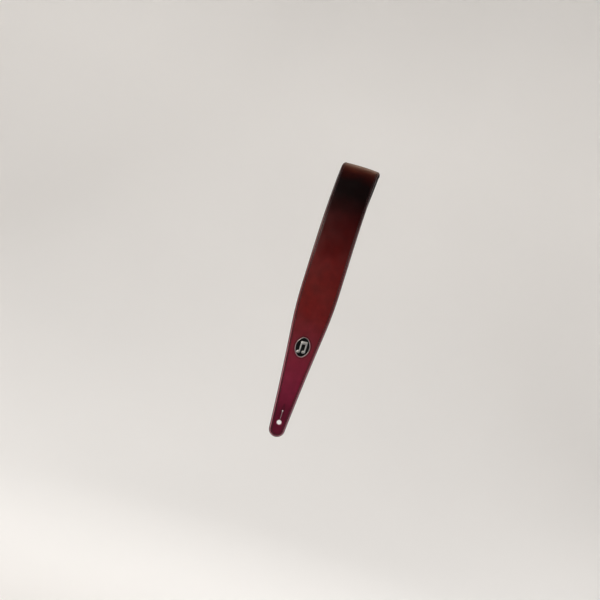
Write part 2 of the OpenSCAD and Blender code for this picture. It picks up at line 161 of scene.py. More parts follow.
# The first row of points past the cut
NEXT_ROW = 0.25
# Edge distance stored round the button hole, past any that the strap itself has
RIM_EDGE = 60.0


# ======== paths

class Drop:
    """One side of the strap: over the arch, a straight run, a gentle bend, then straight down.

    s is the length along the lining from the top of the arch, h the height above the lining.
    """

    def __init__(self, side, hinge, run, bend_r):
        y, z = hinge[1:]
        self.side = side
        self.r = (y * y + z * z - STRAP_T * STRAP_T) / (2 * (STRAP_T - z))
        self.arch = math.asin(abs(y) / (self.r + STRAP_T))
        self.run = run
        self.bend_r = bend_r
        self.s_run = self.r * self.arch
        self.s_bend = self.s_run + run
        self.s_flat = self.s_bend + bend_r * (math.pi / 2 - self.arch)
        self.flat_z = self.side_view(self.s_flat, 0)[1]

    def side_view(self, s, h):
        """Distance out from the arch's middle, and height, of a point."""
        sin, cos = math.sin(self.arch), math.cos(self.arch)
        if s <= self.s_run:
            a = s / self.r
            return (self.r + h) * math.sin(a), -self.r + (self.r + h) * math.cos(a)
        if s <= self.s_bend:
            d = s - self.s_run
            return (self.r + h) * sin + d * cos, -self.r + (self.r + h) * cos - d * sin
        y0 = (self.r - self.bend_r) * sin + self.run * cos
        z0 = -self.r + (self.r - self.bend_r) * cos - self.run * sin
        a = min(self.arch + (s - self.s_bend) / self.bend_r, math.pi / 2)
        flat = max(s - self.s_flat, 0)
        return y0 + (self.bend_r + h) * math.sin(a), z0 + (self.bend_r + h) * math.cos(a) - flat

    def place(self, x, s, h):
        y, z = self.side_view(s, h - self.cup(s) * (x / HALF_W) ** 2)
        return Vector((x + self.lean(s), self.side * y, z)) * MM

    def cup(self, s):
        """How much closer to the body the edges lie than the middle."""
        return CUP if self.side < 0 else CUP + (CUP_BACK - CUP) * smooth(s / 150)

    def lean(self, s):
        """The strap lies a little aslant on the shoulder: how far it is to the right."""
        if self.side < 0:
            return LEAN * max(1 - s / LEAN_FRONT, 0) ** 2
        u = min(s / LEAN_BACK, 1)
        slope = 2 * LEAN / LEAN_FRONT * LEAN_BACK
        return LEAN * (2 * u ** 3 - 3 * u * u + 1) + slope * (u ** 3 - 2 * u * u + u)

    def s_at(self, z):
        """Length along the lining at a height on the flat part."""
        return self.s_flat + self.flat_z - z

    def z_at(self, s):
        """Height on the flat part at a length along the lining."""
        return self.s_flat + self.flat_z - s


def smooth(u):
    """An even rise from 0 to 1."""
    u = min(max(u, 0.0), 1.0)
    return u * u * (3 - 2 * u)


FRONT = Drop(-1, joint_mm("front_swing"), FRONT_RUN, FRONT_BEND_R)
BACK = Drop(1, joint_mm("back_swing"), BACK_RUN, BACK_BEND_R)
S_TIP = FRONT.s_at(TIP_Z)
S_END = BACK.s_at(BAR_Z + END_GAP)


def tail_face(z):
    """Height of the tail's inner face: low over the buckle, then down onto the strap."""
    ease_z = BAR_Z + CHAPE_LEN
    return TAIL_LOW_H + (TAIL_HIGH_H - TAIL_LOW_H) * smooth((z - ease_z) / TAIL_EASE)


def place_tail(x, s, h):
    """The tail lies over the back drop, over the buckle and down its outside."""
    z = BACK.z_at(s)
    step = 0.5
    slope = (tail_face(z + step) - tail_face(z - step)) / (2 * step)
    lean = math.atan(slope)
    y = BACK_Y + tail_face(z) + h * math.cos(lean)
    return Vector((x, y, z - h * math.sin(lean))) * MM


def place_chape(x, p, h):
    """p runs from one leg's end, round the heel bar, to the other leg's end."""
    r = BAR_Y - BACK_Y
    turn = math.pi * (r + CHAPE_T / 2)
    if p < CHAPE_LEN:
        out, up = -(r + h), CHAPE_LEN - p
    elif p < CHAPE_LEN + turn:
        a = (p - CHAPE_LEN) / turn * math.pi
        out, up = -(r + h) * math.cos(a), -(r + h) * math.sin(a)
    else:
        out, up = r + h, p - CHAPE_LEN - turn
    return Vector((x, BAR_Y + out, BAR_Z + up)) * MM


# ======== outlines
# An outline is a function of the distance drawn in from the edge, and gives points in x and s.

def arc(cx, cy, r, a0, a1, n):
    """Points on an arc, angles in degrees."""
    angles = [math.radians(a0 + (a1 - a0) * i / n) for i in range(n + 1)]
    return [(cx + r * math.cos(a), cy + r * math.sin(a)) for a in angles]


def both_sides(side):
    """A right side and its mirror image."""
    return side + [(-x, s) for x, s in reversed(side)]


def front_side(t):
    """Half width, and its slope, at a distance above the tip."""
    knee = 0.707
    t0 = TIP_R * (1 - math.sin(TIP_FLARE))
    length = FRONT_TAPER - t0
    rise = HALF_W - TIP_R * math.cos(TIP_FLARE)
    f0 = math.tan(TIP_FLARE) * length / rise
    f1 = (1 - f0 * (1 + knee) / 2) / knee
    f2 = (f0 + 2 * f1 * knee) / (2 * (1 - knee))
    u = min((t - t0) / length, 1.0)
    if u < knee:
        return HALF_W - rise + rise * (f0 * u + f1 * u * u), rise / length * (f0 + 2 * f1 * u)
    return HALF_W - rise * f2 * (1 - u) ** 2, rise / length * 2 * f2 * (1 - u)


def back_side(d):
    """Half width, and its slope, at a distance below the top of the flat back."""
    u = min(max((d - BACK_SHOULDER) / BACK_TAPER, 0.0), 1.0)
    width = HALF_W - TAIL_HALF
    return HALF_W - width * smooth(u), width / BACK_TAPER * 6 * u * (1 - u)


def rows(s0, s1, step):
    """Places along the strap, close together at s0 so that the cut ends match in shading."""
    n = max(round((s1 - s0) / step), 1)
    return [s0, s0 + NEXT_ROW] + [s0 + (s1 - s0) * i / n for i in range(1, n + 1)]


def front_outline(step=2.6):
    t0 = TIP_R * (1 - math.sin(TIP_FLARE))

    def outline(inset):
        side = []
        for s in rows(-SPLIT, S_TIP - t0, step)[:-1]:
            half, slope = front_side(S_TIP - s)
            a = math.atan(slope)
            side.append((half - inset * math.cos(a), s - inset * math.sin(a)))
        tip = arc(0, S_TIP - TIP_R, TIP_R - inset, math.degrees(TIP_FLARE), 90, 22)
        return both_sides(side + tip[:-1])
    return outline


def back_outline(step=2.6):
    def outline(inset):
        side = []
        for s in rows(SPLIT, S_END, step)[:-1]:
            half, slope = back_side(s - BACK.s_flat)
            a = math.atan(slope)
            side.append((half - inset * math.cos(a), s + inset * math.sin(a)))
        side = [p for p in side if p[1] < S_END - 8]
        return both_sides(side + [(TAIL_HALF - inset, S_END - inset)])
    return outline


def tail_outline(inset):
    """Closed: a round end below, an English point above."""
    low = BAR_Z - TAIL_DOWN
    point_r = 2.7 * TAIL_HALF
    off = point_r - TAIL_HALF
    base = BAR_Z + TAIL_UP - math.sqrt(point_r ** 2 - off ** 2)
    top = math.degrees(math.acos(off / (point_r - inset)))
    side = arc(0, low + TAIL_HALF, TAIL_HALF - inset, -88, 0, 18)
    n = 90
    start = low + TAIL_HALF
    side += [(TAIL_HALF - inset, start + (base - start) * i / n) for i in range(1, n)]
    side += arc(-off, base, point_r - inset, 0, top - 0.6, 16)
    return both_sides([(x, BACK.s_at(z)) for x, z in side])


def chape_outline(inset):
    """Closed: a strip with rounded corners."""
    corner = 5.0
    length = 2 * CHAPE_LEN + math.pi * (BAR_Y - BACK_Y + CHAPE_T / 2)
    side = arc(TAIL_HALF - corner, corner, corner - inset, -90, 0, 6)
    n = 44
    side += [(TAIL_HALF - inset, corner + (length - 2 * corner) * i / n) for i in range(1, n)]
    side += arc(TAIL_HALF - corner, length - corner, corner - inset, 0, 90, 6)
    return both_sides(side)


def slot_hole(cx, cs, half_w, half_len):
    """Hole with round ends, long along the strap."""
    def hole(offset):
        r = half_w + offset
        straight = half_len - half_w
        return arc(cx, cs + straight, r, 0, 180, 12) + arc(cx, cs - straight, r, 180, 360, 12)
    return hole


def oval(cs, a, b, end_r, n=14):
    """Hole or plate of four arcs, long along the strap."""
    def loop(offset):
        la, lb, r = a + offset, b + offset, end_r + offset
        d = la - r
        big = (lb * lb + d * d - r * r) / (2 * (lb - r))
        t = math.degrees(math.atan2(d, big - lb))
        arcs = (
            (lb - big, cs, big, -t, t), (0, cs + d, r, t, 180 - t),
            (big - lb, cs, big, 180 - t, 180 + t), (0, cs - d, r, 180 + t, 360 - t),
        )
        return [point for shape in arcs for point in arc(*shape, n)[:-1]]
    return loop


def keyhole(cs, up, slit=SLIT_HALF):
    """Button hole with a slit to a small round hole; up is +1 if s grows towards the slit."""
    def hole(offset):
        r, w, q = BUTTON_R + offset, slit + offset, RELIEF_R + offset
        a = math.degrees(math.acos(w / r))
        b = math.degrees(math.acos(min(w / q, 0.99)))
        big = arc(0, 0, r, a, -180 - a, 30)
        small = arc(0, SLIT_LEN, q, 180 + b, -b, 14)
        y0, y1 = big[-1][1], small[0][1]
        left = [(-w, y0 + (y1 - y0) * i / 7) for i in range(1, 7)]
        right = [(w, y1 + (y0 - y1) * i / 7) for i in range(1, 7)]
        return [(x, cs + up * y) for x, y in big + left + small + right]
    return hole


# ======== mesh tools

def finish_mesh(name, verts, faces, material, places=None, sharp=38):
    """Makes an object with outward normals, smooth shading and sharp edges past an angle.

    places are (across, along, distance in from the edge) in metres, stored for the leather's
    textures, so that these stay on it when it bends.
    """
    mesh = bpy.data.meshes.new(name)
    mesh.from_pydata(verts, [], faces)
    if places is not None:
        across, along, edge_in = np.array(places, np.float32).T
        spots = np.stack([across, along, np.zeros_like(across)], axis=1)
        layer = mesh.attributes.new("place", "FLOAT_VECTOR", "POINT")
        layer.data.foreach_set("vector", spots.ravel())
        layer = mesh.attributes.new("edge_in", "FLOAT", "POINT")
        layer.data.foreach_set("value", edge_in.copy())
    bm = bmesh.new()
    bm.from_mesh(mesh)
    bmesh.ops.recalc_face_normals(bm, faces=bm.faces)
    bm.to_mesh(mesh)
    bm.free()
    mesh.polygons.foreach_set("use_smooth", [True] * len(mesh.polygons))
    mesh.set_sharp_from_angle(angle=math.radians(sharp))
    mesh.materials.append(material)
    piece = bpy.data.objects.new(name, mesh)
    bpy.context.scene.collection.objects.link(piece)
    return piece


def inside(points, loop):
    """Which points lie inside a closed loop."""
    p = np.asarray(points, float)
    a = np.asarray(loop, float)
    b = np.roll(a, -1, axis=0)
    x, y = p[:, 0:1], p[:, 1:2]
    crosses = (a[:, 1] > y) != (b[:, 1] > y)
    rise = np.where(b[:, 1] == a[:, 1], 1e-12, b[:, 1] - a[:, 1])
    at = a[:, 0] + (y - a[:, 1]) * (b[:, 0] - a[:, 0]) / rise
    return (np.sum(crosses & (x < at), axis=1) % 2).astype(bool)


def fill(loops, inner, grid):
    """Triangles between an outer loop and its holes.

    loops are lists of (index, (x, s)), the outer one first. inner is a list of new points.
    Returns triangles of indices, new points numbered from grid on.
    """
    ids, points, edges = [], [], []
    for loop in loops:
        n = len(points)
        points += [Vector(p) for _, p in loop]
        ids += [i for i, _ in loop]
        edges += [(n + i, n + (i + 1) % len(loop)) for i in range(len(loop))]
    points += [Vector(p) for p in inner]
    ids += [grid + i for i in range(len(inner))]
    out, _, faces, origin, _, _ = delaunay_2d_cdt(points, edges, [], 0, 1e-5)
    back = [ids[o[0]] for o in origin]
    middles = [sum((out[i] for i in f), Vector((0, 0))) / 3 for f in faces]
    keep = inside(middles, [p for _, p in loops[0]])
    for loop in loops[1:]:
        keep &= ~inside(middles, [p for _, p in loop])
    return [tuple(back[i] for i in f) for f, k in zip(faces, keep) if k]


def plain(x, s, off):
    """A hole with no shading of its own: the edge distance stored there is past all bands."""
    return HALF_W


def window_tone(x, s, off):
    """The leather round the medallion is darkened as it is along the seam, and the window's lip gets
    the bevel's painted highlight.
    """
    return off + 2.0


def rim_tone(x, s, off):
    """The button hole's rim, which gets a painted highlight, stored as edge distances that occur
    nowhere else.
    """
    near = math.hypot(x, s - (S_TIP - BUTTON_AT)) < BUTTON_R + 2.5
    return RIM_EDGE - 15 * off if near else HALF_W


def sheet(
    name, material, place, outline, edge, holes=(), is_open=False, grid=(2.6, 8.0), shape=None
):
    """A piece of leather: top, shaped edge, bottom, and shaped holes.

    edge is a list of (distance in from the outline, height) from one face to the other, and each
    hole is (loop function, list of (distance out from the hole, height), tone function). is_open
    means that the outline is cut off straight where the other half of the strap goes on. grid is
    the point spacing inside the last face and the first one, and shape adds height to the last.
    """
    verts, places, faces = [], [], []

    def add(x, s, h, inset):
        h += shape(x, s) if shape and h > edge[0][1] + 0.1 else 0
        verts.append(place(x, s, h))
        places.append((x * MM, s * MM, inset * MM))
        return len(verts) - 1

    def ring(points, h, inset):
        return [(add(x, s, h, inset), (x, s)) for x, s in points]

    def bridge(a, b, closed):
        n = len(a)
        for i in range(n if closed else n - 1):
            j = (i + 1) % n
            faces.append((a[i][0], a[j][0], b[j][0], b[i][0]))

    rings = [ring(outline(inset), h, inset) for inset, h in edge]
    hole_rings = [
        [[(add(x, s, h, tone(x, s, off)), (x, s)) for x, s in loop(off)] for off, h in steps]
        for loop, steps, tone in holes
    ]
    for a, b in zip(rings, rings[1:]):
        bridge(a, b, not is_open)
    for group in hole_rings:
        for a, b in zip(group, group[1:]):
            bridge(a, b, True)

    cut_rows = []
    for level, step in ((-1, grid[0]), (0, grid[1])):
        outer, h = list(rings[level]), edge[level][1]
        across = []
        if is_open:
            (x1, s0), (x0, _) = outer[0][1], outer[-1][1]
            n = max(round((x1 - x0) / step), 2)
            across = ring([(x0 + (x1 - x0) * i / n, s0) for i in range(1, n)], h, HALF_W)
        loops = [outer + across] + [group[level] for group in hole_rings]
        corners = [edge_of([p for _, p in outer], axis=0) for edge_of in (np.min, np.max)]
        (x_low, s_low), (x_high, s_high) = corners
        nx, ns = (max(round(width / step), 2) for width in (x_high - x_low, s_high - s_low))
        rows_s = [s_low + (s_high - s_low) * j / ns for j in range(1, ns)]
        if is_open:
            rows_s.append(outer[0][1][1] + NEXT_ROW)
        points = [
            (x_low + (x_high - x_low) * (i + 0.5 * (j % 2)) / nx, s)
            for j, s in enumerate(rows_s) for i in range(nx + 1)
        ]
        room = 0.6 * step if level else 0.3
        keep = inside(points, outline(edge[level][0] + room))
        for loop, steps, _ in holes:
            keep &= ~inside(points, loop(steps[level][0] + room))
        points = [p for p, k in zip(points, keep) if k]
        faces += fill(loops, points, len(verts))
        for x, s in points:
            add(x, s, h, HALF_W)
        if is_open:
            cut_rows.append([i for i, _ in across])
    if is_open:
        first, last = [r[0][0] for r in rings], [r[-1][0] for r in reversed(rings)]
        faces.append(tuple(first + cut_rows[0][::-1] + last + cut_rows[1]))
    return finish_mesh(name, verts, faces, material, places)


def bands(count, size, wrap=False):
    """Faces between rings of points, and from the last ring back to the first one if wrap is set."""
    pairs = [(i * size, (i + 1) % count * size) for i in range(count if wrap else count - 1)]
    return [
        (a + k, a + (k + 1) % size, b + (k + 1) % size, b + k) for a, b in pairs for k in range(size)
    ]


def tube(points, radius, sides=8, closed=False, flat=1.0, up=Vector((1, 0, 0))):
    """Verts and faces of a round bar along points in millimetres; flat squeezes it towards up."""
    pts = [Vector(p) for p in points]
    n = len(pts)
    radii = radius if hasattr(radius, "__len__") else [radius] * n
    verts = []
    for i, p in enumerate(pts):
        ahead = pts[(i + 1) % n] if closed or i < n - 1 else p
        behind = pts[i - 1] if closed or i > 0 else p
        along = (ahead - behind).normalized()
        side = along.cross(up).normalized()
        top = side.cross(along)
        for k in range(sides):
            a = 2 * math.pi * k / sides
            verts.append(p + radii[i] * (math.cos(a) * side + flat * math.sin(a) * top))
    faces = bands(n, sides, closed)
    if not closed:
        faces += [tuple(range(sides)), tuple(range((n - 1) * sides, n * sides))]
    return verts, faces


def lathe(profile, centre, axis, turns=40):
    """Verts and faces of a turned piece; profile is (radius, height) from pole to pole."""
    axis = Vector(axis).normalized()
    u = axis.orthogonal().normalized()
    w = axis.cross(u)
    verts, faces, rings = [], [], []
    for r, h in profile:
        base = Vector(centre) + axis * h
        if r < 1e-6:
            rings.append([len(verts)])
            verts.append(base)
            continue
        rings.append(list(range(len(verts), len(verts) + turns)))
        for k in range(turns):
            a = 2 * math.pi * k / turns
            verts.append(base + r * (math.cos(a) * u + math.sin(a) * w))
    for a, b in zip(rings, rings[1:]):
        for k in range(turns):
            q = (k + 1) % turns
            if len(a) == 1:
                faces.append((a[0], b[k], b[q]))
            elif len(b) == 1:
                faces.append((a[k], a[q], b[0]))
            else:
                faces.append((a[k], a[q], b[q], b[k]))
    return verts, faces


def joined(parts):
    """One list of verts and faces out of several."""
    verts, faces = [], []
    for v, f in parts:
        n = len(verts)
        verts += v
        faces += [tuple(i + n for i in face) for face in f]
    return verts, faces


def solid(name, material, parts, sharp=38):
    """An object made of closed shells given in millimetres."""
    verts, faces = joined(parts)
    return finish_mesh(name, [Vector(v) * MM for v in verts], faces, material, sharp=sharp)


# ======== materials

def srgb(code):
    """Linear colour of an sRGB hex value."""
    parts = [int(code[i:i + 2], 16) / 255 for i in (1, 3, 5)]
    linear = [c / 12.92 if c <= 0.04045 else ((c + 0.055) / 1.055) ** 2.4 for c in parts]
    return (*linear, 1.0)


def feed(tree, item, inputs):
    """Fills or links a node's inputs.

    A value may be a number, a hex colour, a socket, or a node whose first output in use is linked.
    """
    for key, value in inputs.items():
        if isinstance(value, bpy.types.Node):
            value = next(o for o in value.outputs if o.enabled)
        if isinstance(value, bpy.types.NodeSocket):
            tree.links.new(value, item.inputs[key])
        else:
            item.inputs[key].default_value = srgb(value) if isinstance(value, str) else value


def node(tree, kind, inputs=None, stops=None, **settings):
    """Adds a shader node of a kind with its settings and inputs.

    stops are a colour ramp's (position, hex colour or grey level).
    """
    item = tree.nodes.new("ShaderNode" + kind)
    for key, value in settings.items():
        setattr(item, key, value)
    feed(tree, item, inputs or {})
    for n, (position, value) in enumerate(stops or ()):
        elements = item.color_ramp.elements
        element = elements[n] if n < 2 else elements.new(position)
        element.position = position
        element.color = srgb(value) if isinstance(value, str) else (value, value, value, 1)
    return item


def finish(name, **sockets):
    """A Principled material: values that are the same all over are set on the shader itself."""
    material = bpy.data.materials.new(name)
    material.use_nodes = True
    shader = material.node_tree.nodes["Principled BSDF"]
    for key, value in sockets.items():
        shader.inputs[key.replace("_", " ")].default_value = value
    return material, material.node_tree, shader


def per_m(size):
    """Noise scale that gives features of a size in millimetres."""
    return 1 / (size * MM)


# Edge distance, and how dark the leather is pressed there, or how much painted highlight it gets on
# the bevel, the medallion window's lip and the button hole's rim
PRESSED = [(3.0, 1.0), (3.6, 0.4), (5.0, 0.4), (6.0, 1.0)]
PAINTED_HIGHLIGHT_BAND = [(1.2, 0.6), (1.5, 0.9), (2.1, 0.8), (2.8, 0.0), (47, 0.0), (54, 0.6)]


def dyed_leather(name, fade, pale, rough, tab=0.0):
    """Vegetable-tanned cowhide, aniline dyed by hand, edge burnished and polished.

    The eye sees fine shallow grain cells about 1 mm across, colour mottled over 15 to 40 mm, soft
    creases across the bend over the shoulder, a painted highlight along the rounded, burnished
    bevel, a darker line where the thread presses the leather down, and a clear waxy gloss over
    saturated colour.
    fade and pale are lists of (distance along the strap in millimetres, colour): fade is the dyed
    colour, which on the strap itself also holds painted highlight and painted shade over the
    shoulder, and pale is the painted highlight of the bevel. tab is how clearly the two stretch
    lines show that run from the button hole to the point of the tab inside: they are dented, and
    darkened with painted shade.
    """
    material, tree, shader = finish(
        name, IOR=1.48, Specular_IOR_Level=0.25, Coat_Weight=0.16, Coat_Roughness=0.14,
        Coat_IOR=1.45,
    )
    place = node(tree, "Attribute", attribute_name="place").outputs["Vector"]
    edge_in = node(tree, "Attribute", attribute_name="edge_in").outputs["Fac"]
    parts = node(tree, "SeparateXYZ", {0: place}).outputs
    span = fade[-1][0]
    patches = node(tree, "TexNoise", {"Vector": place, "Scale": per_m(36), "Detail": 3.0})
    drift = node(tree, "Math", {0: patches, 1: 0.05, 2: -0.025}, operation="MULTIPLY_ADD")
    along = node(tree, "Math", {0: parts["Y"], 1: per_m(span), 2: drift}, operation="MULTIPLY_ADD")
    # Colour along the strap: dyed, and over the shoulder partly painted highlight and painted shade
    dye_and_painted_light = node(tree, "ValToRGB", {0: along}, [(s / span, c) for s, c in fade])
    # Colour of the bevel's painted highlight along the strap
    painted_highlight = node(tree, "ValToRGB", {0: along}, [(s / span, c) for s, c in pale])
    mottle = node(tree, "TexNoise", {"Vector": place, "Scale": per_m(14), "Detail": 5.0})
    shade = node(tree, "ValToRGB", {0: mottle}, [(0.25, 0.74), (0.75, 1.16)])
    pull = node(tree, "Mapping", {0: place, "Scale": (per_m(1.2), per_m(18), per_m(1.2))})
    fibres = node(tree, "TexNoise", {"Vector": pull, "Scale": 1.0, "Detail": 2.0})
    streak = node(tree, "ValToRGB", {0: fibres}, [(0.3, 0.88), (0.7, 1.08)])
    inset = node(tree, "Math", {0: edge_in, 1: per_m(RIM_EDGE)}, operation="MULTIPLY")
    press = node(tree, "ValToRGB", {0: inset}, [(d / RIM_EDGE, tone) for d, tone in PRESSED])
    for amount, layer in ((0.8, shade), (0.6, streak), (1.0, press)):
        inputs = {0: amount, 6: dye_and_painted_light, 7: layer}
        dye_and_painted_light = node(tree, "Mix", inputs, data_type="RGBA", blend_type="MULTIPLY")
    # Painted highlight: pale colour laid on the bevel, the medallion window's lip and the button
    # hole's rim
    highlight_mask = node(tree, "ValToRGB", {0: inset}, [(d / RIM_EDGE, tone) for d, tone in PAINTED_HIGHLIGHT_BAND])
    dye_and_painted_light = node(tree, "Mix", {0: highlight_mask, 6: dye_and_painted_light, 7: painted_highlight}, data_type="RGBA")
    # Zero along both lines, which part from each other below the tab's point
    below = node(tree, "Math", {0: parts["Y"], 1: (S_TIP - TAB_AT) * MM}, operation="SUBTRACT")
    side = node(tree, "Math", {0: parts["X"]}, operation="ABSOLUTE")
    off_line = node(tree, "Math", {0: below, 1: -TAB_SLOPE, 2: side}, operation="MULTIPLY_ADD")
    away = node(tree, "Math", {0: off_line}, operation="ABSOLUTE")
    near = node(tree, "Math", {0: away, 1: per_m(2)}, operation="MULTIPLY")
    line = node(tree, "ValToRGB", {0: near}, [(0.1, 1.0), (0.5, 0.0)])
    reach = node(tree, "Math", {0: below, 1: per_m(40)}, operation="MULTIPLY")
    strength = [(0.0, 0.0), (0.08, tab), (0.6, 0.6 * tab), (0.8, 0.0)]
    ends = node(tree, "ValToRGB", {0: reach}, strength)
    crease_and_shade = node(tree, "Math", {0: line, 1: ends}, operation="MULTIPLY")
    # Painted shade: the two dented crease lines are darkened
    dye_and_painted_light = node(tree, "Mix", {0: crease_and_shade, 6: dye_and_painted_light, 7: "#1c0209"}, data_type="RGBA")
    cells = node(
        tree, "TexVoronoi", {"Vector": place, "Scale": per_m(1.0)}, feature="DISTANCE_TO_EDGE"
    )
    pebble = node(tree, "ValToRGB", {0: cells.outputs["Distance"]}, [(0.0, 0.0), (0.16, 1.0)])
    pores = node(tree, "TexNoise", {"Vector": place, "Scale": per_m(0.4), "Detail": 2.0})
    waves = node(tree, "TexNoise", {"Vector": place, "Scale": per_m(22), "Detail": 3.0})
    across = node(tree, "Mapping", {0: place, "Scale": (per_m(30), per_m(2.4), 1.0)})
    creases = node(tree, "TexNoise", {"Vector": across, "Scale": 1.0, "Detail": 3.0})
    bent = node(tree, "Math", {0: parts["Y"], 1: per_m(110)}, operation="MULTIPLY")
    where = node(tree, "ValToRGB", {0: bent}, [(0.0, 1.0), (0.45, 0.8), (1.0, 0.0)])
    fold = node(tree, "Math", {0: creases, 1: where}, operation="MULTIPLY")
    normal = {}
    depths = ((waves, 0.45), (fold, 0.14), (crease_and_shade, 0.2), (pebble, 0.016), (pores, 0.02))
    for height, depth in depths:
        inputs = {"Height": height, "Distance": depth * MM, **normal}
        normal = {"Normal": node(tree, "Bump", inputs, invert=height is crease_and_shade)}
    wear = node(tree, "ValToRGB", {0: patches}, [(0.3, rough - 0.05), (0.7, rough + 0.08)])
    feed(tree, shader, {"Base Color": dye_and_painted_light, "Roughness": wear, **normal})
    return material


def suede():
    """Black suede split: a matt brushed nap that catches light only at a grazing angle."""
    material, tree, shader = finish(
        "black_suede_napped", Roughness=0.92, IOR=1.45, Specular_IOR_Level=0.2, Sheen_Weight=0.25,
        Sheen_Roughness=0.45, Sheen_Tint=srgb("#8a8078"),
    )
    place = node(tree, "Attribute", attribute_name="place").outputs["Vector"]
    nap = node(tree, "TexNoise", {"Vector": place, "Scale": per_m(0.6), "Detail": 4.0})
    brushed = node(tree, "TexNoise", {"Vector": place, "Scale": per_m(22), "Detail": 4.0})
    dark = node(tree, "ValToRGB", {0: brushed}, [(0.3, "#100d0c"), (0.7, "#221d1a")])
    fleck = node(tree, "ValToRGB", {0: nap}, [(0.3, 0.7), (0.7, 1.25)])
    mixed = node(tree, "Mix", {0: 0.8, 6: dark, 7: fleck}, data_type="RGBA", blend_type="MULTIPLY")
    bumped = node(tree, "Bump", {"Height": nap, "Distance": 0.25 * MM})
    bumped = node(tree, "Bump", {"Height": brushed, "Distance": 0.3 * MM, "Normal": bumped})
    feed(tree, shader, {"Base Color": mixed, "Normal": bumped})
    return material


def edge_paint():
    """Leather edges inked black and rubbed with wax: a satin skin, slightly uneven."""
    material, tree, shader = finish(
        "leather_edge_inked_waxed", Roughness=0.42, IOR=1.5, Specular_IOR_Level=0.35
    )
    spot = node(tree, "TexCoord").outputs["Object"]
    grain = node(tree, "TexNoise", {"Vector": spot, "Scale": per_m(1.4), "Detail": 4.0})
    colour = node(tree, "ValToRGB", {0: grain}, [(0.3, "#070505"), (0.75, "#151111")])
    bumped = node(tree, "Bump", {"Height": grain, "Distance": 0.12 * MM})
    feed(tree, shader, {"Base Color": colour, "Normal": bumped})
    return material


def thread():
    """Waxed polyester thread: dark oxblood, dull, its twisted plies showing as slanted lines."""
    material, tree, shader = finish(
        "polyester_thread_waxed", Roughness=0.45, IOR=1.5, Sheen_Weight=0.3, Sheen_Roughness=0.4
    )
    spot = node(tree, "TexCoord").outputs["Object"]
    turned = node(tree, "Mapping", {0: spot, "Rotation": (0.3, 0.9, 0.6)})
    ply = node(tree, "TexWave", {"Vector": turned, "Scale": per_m(1.9), "Distortion": 0.6})
    strand = ply.outputs["Fac"]
    colour = node(tree, "ValToRGB", {0: strand}, [(0.2, "#1a0507"), (0.8, "#4c181d")])
    bumped = node(tree, "Bump", {"Height": strand, "Distance": 0.12 * MM})
    feed(tree, shader, {"Base Color": colour, "Normal": bumped})
    return material


def metal(name, light, dark, rough, grain, depth):
    """Metal with tarnish in soft clouds of about 6 mm and a fine cast or turned skin.

    rough is for the light parts, and the tarnished ones are duller. grain and depth are the
    skin's, in millimetres.
    """
    material, tree, shader = finish(name, Metallic=1.0)
    spot = node(tree, "TexCoord").outputs["Object"]
    cloud = node(tree, "TexNoise", {"Vector": spot, "Scale": per_m(6), "Detail": 5.0})
    stain = node(tree, "ValToRGB", {0: cloud}, [(0.32, dark), (0.62, light)])
    tone = node(tree, "ValToRGB", {0: cloud}, [(0.3, rough + 0.12), (0.7, rough)])
    skin = node(tree, "TexNoise", {"Vector": spot, "Scale": per_m(grain), "Detail": 3.0})
    bumped = node(tree, "Bump", {"Height": skin, "Distance": depth * MM})
    feed(tree, shader, {"Base Color": stain, "Roughness": tone, "Normal": bumped})
    return material


def enamel():
    """Poured black enamel: deep gloss over a faintly stippled bed."""
    material, tree, shader = finish(
        "enamel_poured_black", Roughness=0.25, IOR=1.52, Coat_Weight=0.4, Coat_Roughness=0.06
    )
    spot = node(tree, "TexCoord").outputs["Object"]
    cells = node(tree, "TexVoronoi", {"Vector": spot, "Scale": per_m(1.1)}).outputs["Distance"]
    colour = node(tree, "ValToRGB", {0: cells}, [(0.0, "#0d0f0e"), (0.8, "#040505")])
    bumped = node(tree, "Bump", {"Height": cells, "Distance": 0.1 * MM})
    feed(tree, shader, {"Base Color": colour, "Normal": bumped})
    return material


# Distance along the strap from the top of the arch, and the colour there: a dyed burst, where the
# brown over the top of the arch is partly a painted highlight and the near-black band below it
# partly painted shade
FRONT_DYE_AND_PAINTED_LIGHT = [
    (0, "#6b3a28"), (16, "#643524"), (28, "#522a1d"), (37, "#3c150d"), (47, "#220503"),
    (62, "#0c0202"), (88, "#0a0101"),
    (118, "#1f0101"), (145, "#320101"), (190, "#3f0201"), (222, "#500908"),
    (270, "#560f0c"), (327, "#5b1011"), (360, "#5e1620"), (425, "#67152a"), (465, "#63102a"),
    (500, "#540622"), (560, "#500721"),
]
# The back starts with the same painted highlight and painted shade over the arch
BACK_DYE_AND_PAINTED_LIGHT = FRONT_DYE_AND_PAINTED_LIGHT[:7] + [
    (130, "#240302"), (200, "#3a0604"), (300, "#480a07"), (420, "#4a0c0a"),
]
# The same for the bevel: a painted highlight along its rounded edge, dark over the shoulder and
# paler towards the tip
FRONT_BEVEL_PAINTED_HIGHLIGHT = [
    (0, "#5a3426"), (50, "#3a2422"), (170, "#6e4240"), (300, "#8a5558"), (400, "#b07a84"),
    (560, "#b8808c"),
]
BACK_BEVEL_PAINTED_HIGHLIGHT = [(0, "#5a3426"), (50, "#3a2422"), (170, "#6e4240"), (420, "#7c4e4c")]
LEATHER_FRONT = dyed_leather("cowhide_veg_tanned_dyed_front", FRONT_DYE_AND_PAINTED_LIGHT, FRONT_BEVEL_PAINTED_HIGHLIGHT, 0.34, 0.6)
LEATHER_BACK = dyed_leather("cowhide_veg_tanned_dyed_back", BACK_DYE_AND_PAINTED_LIGHT, BACK_BEVEL_PAINTED_HIGHLIGHT, 0.36)
